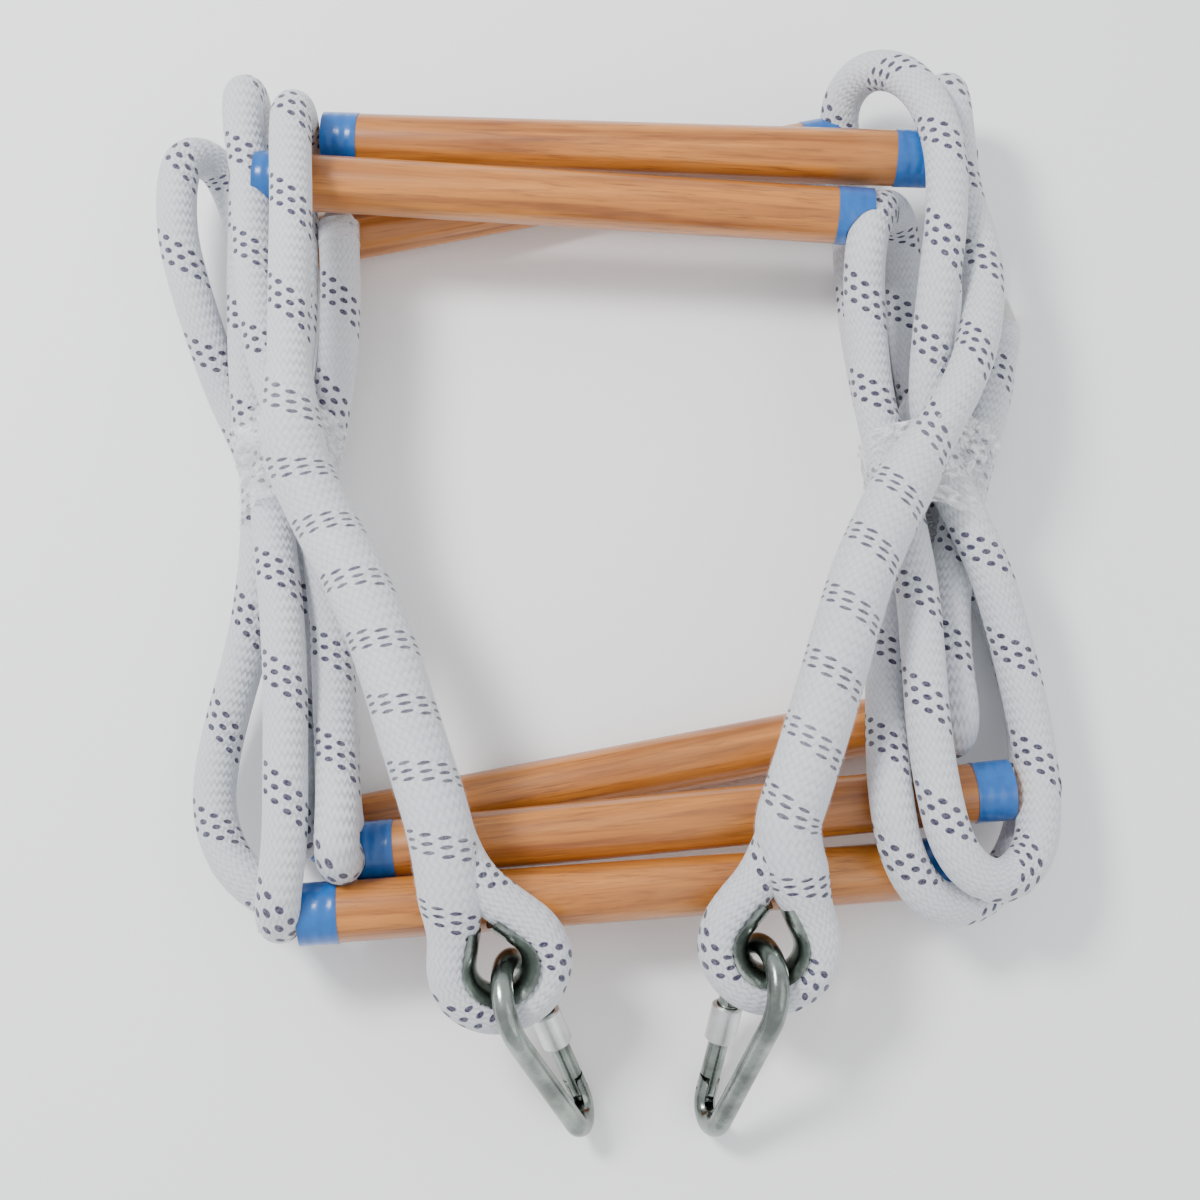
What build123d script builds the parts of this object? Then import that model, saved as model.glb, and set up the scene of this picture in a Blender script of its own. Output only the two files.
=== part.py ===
from build123d import *
import math
import os

# Escape rope ladder: six round wooden rungs between two kernmantle side ropes, folded flat and tied.
# It lies on its rungs. +X is along the rungs, +Y points away from the hooks, +Z up. Millimetres.

# Side ropes
ROPE_DIA = 20.5
ROPE_R = ROPE_DIA / 2
FIT = 0.3  # air between a rope's jacket and a part shaped to it

# Rungs
RUNG_DIA = 28.0
RUNG_LENGTH = 310.0
TAPE_WIDTH = 18.0
TAPE_THICK = 0.4
SCREW_SHANK_DIA = 4.0
SCREW_HEAD_DIA = 9.0
SCREW_HEAD_THICK = 2.4
SCREW_IN_WOOD = 26.0

# Eyes, thimbles and splices
EYE_R = 22.5  # centreline of the rope round the thimble
THIMBLE_WALL = 1.5
THIMBLE_LEG = 15.0
THIMBLE_WRAP = 62.0  # degrees of groove each side of its bottom
THIMBLE_OPEN = 30.0  # degrees above the widest point where the legs leave the round
THIMBLE_FIT = 0.6
SPLICE_DIA = 31.0

# Film ties, and the tails' ends
FILM_THICK = 0.6
TIE_LENGTH = 36.0
TAIL_BAND_LENGTH = 12.0
TAIL_BAND_THICK = 0.5

# Spring hooks
HOOK_BAR = 10.0
HOOK_LENGTH = 106.0
HOOK_WIDE_R = 21.0  # centreline of the wide bow
HOOK_NARROW_R = 10.0  # centreline of the narrow bow
HOOK_SLACK = 3.5  # between the bow and the thimble
NOSE_LENGTH = 9.0
FORK_LENGTH = 9.0
GATE_UNDER = 0.4
GATE_DIA = HOOK_BAR - GATE_UNDER
GATE_GAP = 0.5
TONGUE_THICK = 4.0
SLOT_FIT = 0.3
HINGE_PIN_DIA = 3.0
LATCH_PIN_DIA = 2.4
LATCH_PLAY = 0.5
PIN_FIT = 0.1
PIN_OFFSET = 1.5  # hinge pin outside the middle line of the gate
SPRING_DIA = 2.6
SPRING_WIRE = 0.5
SPRING_PITCH = 1.2
SPRING_LENGTH = 14.0
SPRING_OFFSET = 2.0  # spring inside the middle line of the gate
PLUNGER_LENGTH = 5.0
BORE_FIT = 0.2
SLEEVE_DIA = 14.5
SLEEVE_LENGTH = 18.0
SLEEVE_FIT = 0.3
SLEEVE_FROM_NOSE = 9.0  # how far the open sleeve stands from the end of the gate

# Ends of each rung's axis beside its two ropes, in the order they come on the ladder.
RUNG_ENDS = {
    "rung_1": ((-155.4, 231, 52), (156.6, 216, 60)),
    "rung_2": ((-148.4, -161, 50), (155.6, -138, 32)),
    "rung_3": ((-179.4, 201, 66), (118.6, 184, 60)),
    "rung_4": ((-125.4, -132, 38), (180.6, -102.5, 40)),
    "rung_5": ((-186.4, 189, 14.5), (111.6, 247, 20)),
    "rung_6": ((-151.4, -120, 14.5), (147.6, -63, 14.5)),
}

# The eye of each rope: centre of its round, heading and pitch of the way back to the splice.
EYES = {
    "left": ((-57.4, -183, 66), 23.7, 24.1),
    "right": ((64.6, -175, 60), -7.5, 22.6),
}
# Each hook: heading and pitch of its long axis, and its roll from upright about that axis.
HOOKS = {
    "left": (28.0, 38.0, -23.0),
    "right": (-18.5, 33.5, 28.0),
}
# Film round each bundle: its middle in X and Y, its inside width, and the height of its inside top.
TIES = {
    "left": (-169.8, 52, 62.6, 102.4),
    "right": (151.3, 47, 74, 94.2),
}
TIE_CORNER = 9.0
FLOOR_GAP = 0.05  # air under the film

# The route of each side rope, from the tucked end at its eye to its tail.
LEFT_ROUTE = [
    (-57.4, -156.2, 77), (-48.7, -162, 73.2), (-38.9, -169, 68.5), (-33.4, -181.5, 62),
    (-40.4, -198, 57), (-57.9, -205.5, 57), (-74.4, -200, 62), (-80.4, -187, 68.5), (-76.9, -164.5, 77),
    (-81.4, -130, 90), (-90.4, -102, 91), (-100.4, -73, 91), (-110.4, -43, 90), (-124.4, -12, 88),
    (-141.4, 18, 84), (-155.4, 46, 86.5), (-158.4, 75, 91.5), (-159.4, 104, 93), (-160.4, 139, 94),
    (-161.4, 176, 94), (-164.4, 220, 92.5), (-165.4, 235, 78), (-166.4, 235, 56), (-168.4, 220, 40.5),
    (-168.7, 184, 39.5), (-166.4, 147, 41), (-166.4, 113, 44), (-170.4, 81, 48), (-173.4, 50, 53),
    (-168.4, 14, 62), (-161.4, -22, 69), (-157.4, -60, 72), (-155.4, -98, 74), (-154.4, -129, 72),
    (-157.4, -155, 68), (-158.4, -164, 59), (-159.4, -164, 45), (-160.9, -159, 36.5),
    (-167.4, -151.5, 32.5), (-177.4, -146, 32.5), (-189.4, -134, 29), (-198.4, -113, 26),
    (-198.4, -89, 26), (-192.4, -62, 30), (-184.4, -34, 36), (-179.8, -5, 40), (-179.8, 27, 36),
    (-182.4, 59, 32), (-189.4, 91, 32), (-192.4, 125, 35), (-194.4, 161, 36), (-195.4, 200, 36),
    (-196.4, 228, 37), (-194.4, 245, 37), (-194.4, 254, 46), (-194.4, 254, 59), (-194.4, 245, 68),
    (-191.9, 224, 68.5), (-187.4, 201, 67), (-185.4, 166, 66), (-180.4, 130, 68), (-172.4, 97, 71),
    (-161.4, 69, 71), (-152.4, 45, 61), (-146.4, 14, 54), (-141.4, -18, 52), (-138.4, -52, 54),
    (-134.4, -87, 62), (-131.4, -111, 70), (-131.4, -130, 72), (-131.4, -138, 64), (-131.4, -138, 52),
    (-131.4, -130, 44), (-135.4, -108, 44), (-137.4, -83, 39), (-140.4, -53, 30), (-144.4, -13, 19),
    (-152.4, 29, 11), (-163.4, 69, 11), (-175.4, 105, 11), (-186.4, 141, 11), (-193.4, 175, 11.5),
    (-202.4, 201, 12.5), (-209.4, 220, 14), (-215.9, 232, 23), (-224.9, 232, 36), (-231.4, 220, 45),
    (-230.4, 185, 44), (-224.4, 160, 38), (-216.4, 134, 28), (-206.4, 105, 16), (-193.4, 80, 11),
    (-182.4, 50, 11), (-173.4, 13, 11), (-168.4, -24, 11), (-164.4, -59, 11.5), (-161.9, -92, 12),
    (-157.4, -117, 12), (-157.4, -125, 21), (-157.4, -125, 33), (-157.4, -117, 41), (-157.4, -93, 39),
    (-159.9, -61, 37.2), (-159.8, -26, 35), (-159.6, 7, 33), (-157.4, 41, 32), (-151.4, 74, 34),
    (-146.4, 105, 37), (-144.9, 137, 39), (-145.4, 164, 41), (-147.4, 189, 41.5),
]
RIGHT_ROUTE = [
    (56.1, -149.5, 70.5), (48.8, -157.6, 66.8), (42.6, -166.5, 62.5), (41.1, -180.5, 56.5),
    (52.6, -194.5, 51.5), (71.1, -197, 51.5), (85.6, -186.5, 56.5), (87.6, -172.5, 62.5),
    (78.1, -151.5, 70.5), (69.6, -126, 82), (76.6, -106, 86), (84.6, -82, 89), (92.6, -57, 90),
    (100.6, -31, 89), (109.6, -5, 87), (123.6, 24, 83), (137.6, 49, 82), (152.6, 71, 84),
    (166.6, 97, 77), (176.6, 130, 68), (177.6, 164, 64), (169.6, 195, 62), (168.1, 229, 62),
    (167.6, 251, 60), (167.6, 261, 50), (168.6, 261, 36), (170.6, 251, 26), (180.6, 230, 18),
    (182.6, 196, 15), (176.6, 151, 21), (161.6, 109, 32), (144.6, 82, 35), (132.6, 53, 34),
    (129.6, 20, 34), (127.6, -17, 37), (124.6, -53, 46), (121.6, -84, 58), (120.6, -110, 66),
    (124.6, -133, 62), (133.6, -149, 55), (146.6, -157, 45), (162.6, -155, 35), (177.6, -144, 27),
    (190.6, -127, 22), (197.6, -102, 18), (199.6, -72, 14), (196.6, -42, 12), (189.6, -13, 11),
    (178.6, 15, 11), (167.6, 45, 11), (158.6, 74, 11), (152.6, 107, 11), (149.6, 143, 12),
    (147.6, 176, 16), (144.6, 194, 27), (137.6, 197, 43), (127.6, 187, 60), (120.6, 171, 67),
    (118.6, 146, 61), (120.6, 120, 54), (122.6, 89, 53), (128.6, 59, 55), (134.6, 26, 57),
    (138.6, -10, 61), (138.6, -45, 66), (138.6, -79, 70), (141.6, -109, 71), (147.6, -132, 67),
    (159.6, -145, 61), (174.6, -147, 54), (189.6, -134, 48), (194.6, -112, 44), (194.6, -86, 42),
    (190.6, -57, 43), (184.6, -29, 46), (176.6, 0, 52), (164.6, 26, 57), (153.6, 54, 56),
    (148.6, 84, 59), (150.6, 115, 66), (153.6, 144, 77), (157.6, 176, 83), (158.6, 208, 83),
    (153.6, 237, 78), (143.6, 261, 66), (129.6, 274, 50), (118.6, 271, 36), (114.6, 258, 26),
    (119.6, 239, 18), (121.6, 209, 13), (122.6, 172, 11), (124.6, 138, 11), (129.6, 105, 11),
    (135.6, 72, 11), (136.6, 37, 11), (136.6, 2, 11), (143.6, -26, 11), (153.6, -47, 12),
    (156.6, -67, 14), (157.6, -76, 22), (158.6, -76, 35), (158.6, -67, 44), (156.6, -40, 42),
    (158.6, -9, 36), (163.6, 22, 34), (172.6, 54, 32), (183.6, 85, 27), (192.6, 115, 20),
    (197.6, 142, 16),
]
ROUTES = {"left": LEFT_ROUTE, "right": RIGHT_ROUTE}
SPLICE_FIRST, SPLICE_LAST = 8, 13  # runs of a route that the splice starts and ends on
CORNER_SHARE = 0.45


ALIGN_BASE = (Align.CENTER, Align.CENTER, Align.MIN)


def corner_radii(points):
    """As large an arc at each corner as its two runs allow."""
    radii = []
    for before, corner, after in zip(points, points[1:], points[2:]):
        come = Vector(*corner) - Vector(*before)
        leave = Vector(*after) - Vector(*corner)
        half_turn = math.radians(come.get_angle(leave)) / 2
        radii.append(CORNER_SHARE * min(come.length, leave.length) / math.tan(half_turn))
    return radii


def rope_path(points, radii):
    return FilletPolyline(*points, radius=radii)


def tube(path, radius):
    """A solid round bar along a path."""
    return sweep(Plane(path @ 0, z_dir=path % 0) * Circle(radius), path=path)


def middle(a, b):
    return tuple((p + q) / 2 for p, q in zip(a, b))


def splice_path(points, radii):
    """The stretch of a rope that its splice covers, from the middle of one run to that of another."""
    stretch = points[SPLICE_FIRST + 1 : SPLICE_LAST + 1]
    start = middle(points[SPLICE_FIRST], points[SPLICE_FIRST + 1])
    end = middle(points[SPLICE_LAST], points[SPLICE_LAST + 1])
    return rope_path([start, *stretch, end], radii[SPLICE_FIRST:SPLICE_LAST])


def largest(shape):
    return max(shape.solids(), key=lambda solid: solid.volume)


def rung_plane(ends):
    """Plane at the middle of a rung, its Z along the rung from left to right."""
    left, right = (Vector(*end) for end in ends)
    return Plane((left + right) / 2, z_dir=right - left)


def rope_tools(paths, points, reach, radius):
    """Bars a little thicker than the ropes, along every stretch of them near some points."""
    tools = []
    for path in paths:
        stretch = []
        for edge in path.edges():
            if min(edge.distance_to(Vertex(*point)) for point in points) < reach:
                stretch.append(edge)
            elif stretch:
                tools.append(tube(Wire(stretch), radius))
                stretch = []
        if stretch:
            tools.append(tube(Wire(stretch), radius))
    return tools


def nearest_station(path, point):
    """The point of a rope that is nearest to a rung's end."""
    return path.distance_to_with_closest_points(Vertex(*point))[1]


def rung_screw(rope_point, rung_middle):
    """Countersunk wood screw into a rung's end, its head sunk in the far side of the rope."""
    inward = (rung_middle - rope_point).normalized()
    head_face = rope_point - inward * (ROPE_R - FIT)
    plane = Plane(head_face, z_dir=inward)
    length = 2 * ROPE_R + SCREW_IN_WOOD
    cone = Cone(SCREW_HEAD_DIA / 2, SCREW_SHANK_DIA / 2, SCREW_HEAD_THICK, align=ALIGN_BASE)
    point_length = SCREW_SHANK_DIA
    shank = Cylinder(SCREW_SHANK_DIA / 2, length - point_length, align=ALIGN_BASE)
    tip = Pos(0, 0, length - point_length) * Cone(SCREW_SHANK_DIA / 2, 0.4, point_length, align=ALIGN_BASE)
    return plane * (cone + shank + tip)


def heading_vector(heading, pitch):
    """Unit vector that points along -Y at heading 0, towards +X at 90, and down by its pitch."""
    h, b = math.radians(heading), math.radians(pitch)
    return Vector(math.sin(h) * math.cos(b), -math.cos(h) * math.cos(b), -math.sin(b))


def eye_plane(side):
    """Plane of an eye: origin at the centre of its round, Y back towards the splice."""
    centre, heading, pitch = EYES[side]
    back = -heading_vector(heading, pitch)
    across = Vector(math.cos(math.radians(heading)), math.sin(math.radians(heading)), 0)
    return Plane(Vector(*centre), x_dir=across, z_dir=across.cross(back))


def thimble(side):
    """Steel groove round the inside of an eye, with two legs that lean in to the splice."""
    inner = ROPE_R + THIMBLE_FIT
    outer = inner + THIMBLE_WALL
    low, high = 180 - THIMBLE_WRAP, 180 + THIMBLE_WRAP
    section = Polyline(
        (inner * math.cos(math.radians(low)), inner * math.sin(math.radians(low))),
        (outer * math.cos(math.radians(low)), outer * math.sin(math.radians(low))),
    )
    inside = ThreePointArc(
        (inner * math.cos(math.radians(low)), inner * math.sin(math.radians(low))),
        (-inner, 0),
        (inner * math.cos(math.radians(high)), inner * math.sin(math.radians(high))),
    )
    outside = ThreePointArc(
        (outer * math.cos(math.radians(low)), outer * math.sin(math.radians(low))),
        (-outer, 0),
        (outer * math.cos(math.radians(high)), outer * math.sin(math.radians(high))),
    )
    other = Line(inside @ 1, outside @ 1)
    profile = make_face([section.edges()[0], inside.edges()[0], outside.edges()[0], other.edges()[0]])
    # The profile lies with its own X outward from the eye's centre and its Y along the eye's normal.
    start = Plane(
        (
            EYE_R * math.cos(math.radians(THIMBLE_OPEN)),
            EYE_R * math.sin(math.radians(THIMBLE_OPEN)),
            0,
        ),
        x_dir=(math.cos(math.radians(THIMBLE_OPEN)), math.sin(math.radians(THIMBLE_OPEN)), 0),
        z_dir=(math.sin(math.radians(THIMBLE_OPEN)), -math.cos(math.radians(THIMBLE_OPEN)), 0),
    )
    right = start * profile
    bow = revolve(right, Axis.Z, revolution_arc=-(180 + 2 * THIMBLE_OPEN))
    leg = extrude(right, amount=-THIMBLE_LEG)
    ring = bow + leg + mirror(leg, about=Plane.YZ)
    return eye_plane(side) * ring


def hook_plane(side):
    """Plane of a hook: origin at the rope's centre in the bottom of the eye, Y along the hook."""
    heading, pitch, roll = HOOKS[side]
    along = heading_vector(heading, pitch)
    level = Vector(math.cos(math.radians(heading)), math.sin(math.radians(heading)), 0)
    upright = along.cross(level)
    if upright.Z < 0:
        upright = -upright
    spine = upright * math.cos(math.radians(roll)) + level * math.sin(math.radians(roll))
    eye = eye_plane(side)
    in_eye = along - eye.z_dir * along.dot(eye.z_dir)
    origin = eye.origin + in_eye.normalized() * EYE_R
    return Plane(origin, x_dir=spine, z_dir=spine.cross(along))


def slab(thick):
    """Everything within half a thickness of the middle plane of the hook."""
    return Box(4 * HOOK_LENGTH, 4 * HOOK_LENGTH, thick)


def bar_along_x(start, end, dia):
    """Round bar on the X axis."""
    return Plane((start, 0, 0), z_dir=(1, 0, 0)) * Cylinder(dia / 2, end - start, align=ALIGN_BASE)


def hook_parts():
    """Every piece of one hook, in the plane of the hook, its spine on the +X side."""
    wide_y = HOOK_WIDE_R - (ROPE_R + THIMBLE_FIT + THIMBLE_WALL + HOOK_SLACK + HOOK_BAR / 2)
    apart = HOOK_LENGTH - HOOK_BAR - HOOK_WIDE_R - HOOK_NARROW_R
    lean = math.asin((HOOK_WIDE_R - HOOK_NARROW_R) / apart)
    out_x, out_y = math.cos(lean), math.sin(lean)
    narrow_y = wide_y + apart
    wide_spine = (HOOK_WIDE_R * out_x, wide_y + HOOK_WIDE_R * out_y)
    wide_gate = (-wide_spine[0], wide_spine[1])
    narrow_spine = (HOOK_NARROW_R * out_x, narrow_y + HOOK_NARROW_R * out_y)
    narrow_gate = (-narrow_spine[0], narrow_spine[1])
    nose = (wide_gate[0] + NOSE_LENGTH * out_y, wide_gate[1] + NOSE_LENGTH * out_x)
    fork = (narrow_gate[0] - FORK_LENGTH * out_y, narrow_gate[1] - FORK_LENGTH * out_x)
    path = Wire(
        [
            Edge.make_line(nose, wide_gate),
            Edge.make_three_point_arc(wide_gate, (0, wide_y - HOOK_WIDE_R), wide_spine),
            Edge.make_line(wide_spine, narrow_spine),
            Edge.make_three_point_arc(narrow_spine, (0, narrow_y + HOOK_NARROW_R), narrow_gate),
            Edge.make_line(narrow_gate, fork),
        ]
    )
    bar = tube(path, HOOK_BAR / 2)

    # Gate frame: X from the hinge towards the nose on the middle line of the gate, Y inward.
    arm_round = HOOK_BAR / 2 + PIN_OFFSET
    hinge = (fork[0] + arm_round * out_y, fork[1] + arm_round * out_x)
    frame = Plane((*hinge, 0), x_dir=(-out_y, -out_x, 0), z_dir=(0, 0, 1))
    nose_x = math.dist(hinge, nose)
    pin_y = -PIN_OFFSET
    tongue_round = GATE_DIA / 2 + PIN_OFFSET
    shoulder_x = arm_round + GATE_GAP
    slot_x = -(tongue_round + 2 * GATE_GAP)
    blade_length = HOOK_BAR * 0.8
    blade_x = nose_x - blade_length
    latch_x = nose_x - blade_length / 2

    # Fork of the body: arms rounded about the hinge pin, and the slot for the tongue of the gate.
    arms = bar_along_x(-1.0, arm_round + 1.0, HOOK_BAR + 1.0)
    rounded = Pos(0, pin_y, 0) * Cylinder(arm_round, 2 * HOOK_BAR)
    body = bar - frame * ((arms - rounded) & Pos(arm_round, 0, 0) * Box(2 * arm_round, 40, 40))
    slot = Pos(slot_x + HOOK_BAR, 0, 0) * Box(2 * HOOK_BAR, 2 * HOOK_BAR, TONGUE_THICK + 2 * SLOT_FIT)
    body -= frame * slot
    pin_hole = Pos(0, pin_y, 0) * Cylinder(HINGE_PIN_DIA / 2 + PIN_FIT, 2 * HOOK_BAR)
    body -= frame * pin_hole

    # Nose of the body: a flat blade with a notch that opens inward.
    blade = bar_along_x(blade_x, nose_x, HOOK_BAR) & slab(TONGUE_THICK)
    notch_width = LATCH_PIN_DIA + 2 * LATCH_PLAY
    notch = Pos(latch_x, 0, 0) * Cylinder(notch_width / 2, HOOK_BAR)
    notch += Pos(latch_x, HOOK_BAR / 2, 0) * Box(notch_width, HOOK_BAR, HOOK_BAR)
    body += frame * (blade - notch)

    # Gate: tongue in the fork, forked end over the blade, bore for the spring.
    gate = bar_along_x(shoulder_x, nose_x - GATE_GAP, GATE_DIA)
    tongue = bar_along_x(-tongue_round, shoulder_x + 1.0, GATE_DIA) & slab(TONGUE_THICK)
    tongue_end = Pos(0, pin_y, 0) * Cylinder(tongue_round, 2 * HOOK_BAR)
    tongue_end += Pos(HOOK_BAR, 0, 0) * Box(2 * HOOK_BAR, 2 * HOOK_BAR, 2 * HOOK_BAR)
    gate += tongue & tongue_end
    mouth_x = blade_x - GATE_GAP
    mouth = Pos(mouth_x + HOOK_BAR, 0, 0) * Box(2 * HOOK_BAR, 2 * HOOK_BAR, TONGUE_THICK + 2 * SLOT_FIT)
    gate -= mouth
    gate -= Pos(0, pin_y, 0) * Cylinder(HINGE_PIN_DIA / 2 + PIN_FIT, 2 * HOOK_BAR)
    gate -= Pos(latch_x, 0, 0) * Cylinder(LATCH_PIN_DIA / 2, 2 * HOOK_BAR)
    plunger_end = slot_x + 3 * GATE_GAP
    spring_start = plunger_end + PLUNGER_LENGTH
    bore_end = spring_start + SPRING_LENGTH + BORE_FIT
    bore = Pos(0, SPRING_OFFSET, 0) * bar_along_x(-HOOK_BAR, bore_end, SPRING_DIA + 2 * BORE_FIT)
    gate -= bore

    plunger = Pos(0, SPRING_OFFSET, 0) * bar_along_x(plunger_end, spring_start - BORE_FIT, SPRING_DIA)
    coil_radius = (SPRING_DIA - SPRING_WIRE) / 2
    coil_height = SPRING_LENGTH - SPRING_WIRE
    coil = Helix(SPRING_PITCH, coil_height, coil_radius)
    wire = sweep(Plane(coil @ 0, z_dir=coil % 0) * Circle(SPRING_WIRE / 2), path=coil, is_frenet=True)
    spring = Plane((spring_start + SPRING_WIRE / 2, SPRING_OFFSET, 0), z_dir=(1, 0, 0)) * wire

    rivet_length = 2 * math.sqrt((HOOK_BAR / 2) ** 2 - (PIN_OFFSET + HINGE_PIN_DIA / 2) ** 2)
    hinge_pin = Pos(0, pin_y, 0) * Cylinder(HINGE_PIN_DIA / 2, rivet_length)
    latch_pin = Pos(latch_x, 0, 0) * Cylinder(LATCH_PIN_DIA / 2, GATE_DIA - 2 * SLOT_FIT)

    sleeve_end = nose_x - GATE_GAP - SLEEVE_FROM_NOSE
    bore_dia = HOOK_BAR + 2 * SLEEVE_FIT
    sleeve = bar_along_x(sleeve_end - SLEEVE_LENGTH, sleeve_end, SLEEVE_DIA)
    sleeve = chamfer(sleeve.edges(), 0.8)
    sleeve -= bar_along_x(sleeve_end - 2 * SLEEVE_LENGTH, sleeve_end + SLEEVE_LENGTH, bore_dia)

    print("gate frame: hinge pin", hinge, "nose at", nose_x, "window centre y", wide_y)
    return {
        "hook_body": body,
        "hook_gate": frame * gate,
        "gate_hinge_pin": frame * hinge_pin,
        "gate_latch_pin": frame * latch_pin,
        "gate_spring": frame * spring,
        "spring_plunger": frame * plunger,
        "screw_sleeve": frame * sleeve,
    }


def tie(side):
    """Ring of clear film pulled round a bundle."""
    x, y, width, top = TIES[side]
    height = top - FLOOR_GAP - FILM_THICK
    middle_z = top - height / 2
    outside = RectangleRounded(width + 2 * FILM_THICK, height + 2 * FILM_THICK, TIE_CORNER + FILM_THICK)
    inside = RectangleRounded(width, height, TIE_CORNER)
    across = Plane((x, y - TIE_LENGTH / 2, middle_z), x_dir=(1, 0, 0), z_dir=(0, 1, 0))
    return extrude(across * (outside - inside), amount=TIE_LENGTH)


def tail_end(path, length, tip_radius):
    """Band of tape round the end of a rope, and the melted end that stands out of it."""
    end = Plane(path @ 1, z_dir=path % 1)
    band = Cylinder(ROPE_R + TAIL_BAND_THICK, TAIL_BAND_LENGTH, align=ALIGN_BASE)
    band -= Cylinder(ROPE_R, TAIL_BAND_LENGTH, align=ALIGN_BASE)
    seal = Cone(ROPE_R - TAIL_BAND_THICK, tip_radius, length, align=ALIGN_BASE)
    return end * (Pos(0, 0, -TAIL_BAND_LENGTH) * band), end * seal


def check_rope(name, points, radii, path, solid):
    """Say how tight a rope is bent and whether its tube holds the volume it should."""
    expected = math.pi * ROPE_R**2 * path.length
    tight = sorted(radii)[:6]
    print(name, "length", round(path.length, 1), "tightest", [round(r, 1) for r in tight])
    print(name, "volume against section times length", round(solid.volume / expected, 4))


def build():
    os.makedirs("parts", exist_ok=True)
    parts = {}

    radii = {side: corner_radii(points) for side, points in ROUTES.items()}
    paths = {side: rope_path(points, radii[side]) for side, points in ROUTES.items()}
    for side, path in paths.items():
        parts["side_rope_" + side] = tube(path, ROPE_R)
        check_rope("side_rope_" + side, ROUTES[side], radii[side], path, parts["side_rope_" + side])

    screws = []
    for name, ends in RUNG_ENDS.items():
        plane = rung_plane(ends)
        half = RUNG_LENGTH / 2
        wood = plane * Cylinder(RUNG_DIA / 2, RUNG_LENGTH)
        collar = Cylinder(RUNG_DIA / 2 + TAPE_THICK, TAPE_WIDTH) - Cylinder(RUNG_DIA / 2, TAPE_WIDTH)
        tapes = {
            "left": plane * Pos(0, 0, TAPE_WIDTH / 2 - half) * collar,
            "right": plane * Pos(0, 0, half - TAPE_WIDTH / 2) * collar,
        }
        ends_points = {"left": plane * Pos(0, 0, -half), "right": plane * Pos(0, 0, half)}
        for side, location in ends_points.items():
            point = location.position
            near = [tuple(point), tuple(point + (plane.origin - point).normalized() * TAPE_WIDTH)]
            reach = ROPE_R + FIT + RUNG_DIA / 2 + TAPE_THICK
            tools = rope_tools(paths.values(), near, reach, ROPE_R + FIT)
            beyond = point + (point - plane.origin).normalized() * ROPE_R
            screw = rung_screw(nearest_station(paths[side], beyond), plane.origin)
            for tool in tools:
                wood = wood - tool
                tapes[side] = tapes[side] - tool
            wood = largest(wood) - screw
            tapes[side] = largest(tapes[side]) - screw
            screws.append(largest(screw))
            parts[name + "_tape_" + side] = largest(tapes[side])
        parts[name] = largest(wood)
    parts["rung_screws"] = Compound(children=screws)

    for side, points in ROUTES.items():
        covered = splice_path(points, radii[side])
        start = Plane(covered @ 0, z_dir=covered % 0)
        ring = start * (Circle(SPLICE_DIA / 2) - Circle(ROPE_R + FIT / 2))
        parts["splice_cover_" + side] = sweep(ring, path=covered)
        parts["eye_thimble_" + side] = thimble(side)
        parts["bundle_tie_" + side] = tie(side)

    tails = {"left": (7.0, 6.0), "right": (18.0, 2.5)}
    for side, (length, tip_radius) in tails.items():
        band, seal = tail_end(paths[side], length, tip_radius)
        parts["tail_band_" + side] = band
        parts["tail_seal_" + side] = seal

    hook = hook_parts()
    for side in ROUTES:
        place = hook_plane(side)
        for name, piece in hook.items():
            parts[name + "_" + side] = place * piece

    low = min(part.bounding_box().min.Z for name, part in parts.items() if "rope" not in name)
    print("lowest", round(low, 3), "nodes", len(parts))
    for name, part in parts.items():
        export_step(part, f"parts/{name}.step")
    for side in ROUTES:
        place = hook_plane(side)
        print(side, "hook origin", place.origin, "x", place.x_dir, "y", place.y_dir, "z", place.z_dir)


build()
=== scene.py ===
import math

import bpy
import numpy as np
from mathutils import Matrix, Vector


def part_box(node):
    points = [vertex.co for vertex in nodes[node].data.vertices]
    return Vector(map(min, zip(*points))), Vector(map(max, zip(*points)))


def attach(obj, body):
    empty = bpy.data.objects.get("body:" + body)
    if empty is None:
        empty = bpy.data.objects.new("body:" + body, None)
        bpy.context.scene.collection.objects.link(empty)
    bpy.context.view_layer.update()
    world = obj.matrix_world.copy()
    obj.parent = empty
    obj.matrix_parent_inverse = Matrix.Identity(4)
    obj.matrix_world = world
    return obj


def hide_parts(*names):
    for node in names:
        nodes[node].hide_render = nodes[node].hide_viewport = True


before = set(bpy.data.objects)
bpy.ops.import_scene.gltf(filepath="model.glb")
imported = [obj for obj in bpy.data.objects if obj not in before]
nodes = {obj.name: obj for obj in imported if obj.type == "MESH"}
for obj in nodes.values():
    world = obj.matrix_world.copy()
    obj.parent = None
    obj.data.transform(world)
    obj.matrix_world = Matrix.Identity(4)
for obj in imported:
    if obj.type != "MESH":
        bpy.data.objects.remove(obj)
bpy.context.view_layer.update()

# The camera looks down on the folded ladder, a little from the side of the hooks.
# A short telephoto lens about 0.8 m above the floor.
camera = bpy.data.objects.new("camera", bpy.data.cameras.new("camera"))
camera.data.lens = 48.15
camera.data.sensor_width = 36.0
camera.location = (-0.0124, -0.194, 0.801)
camera.rotation_euler = (math.radians(13.6), 0.0, 0.0)
bpy.context.scene.collection.objects.link(camera)
bpy.context.scene.camera = camera

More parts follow.
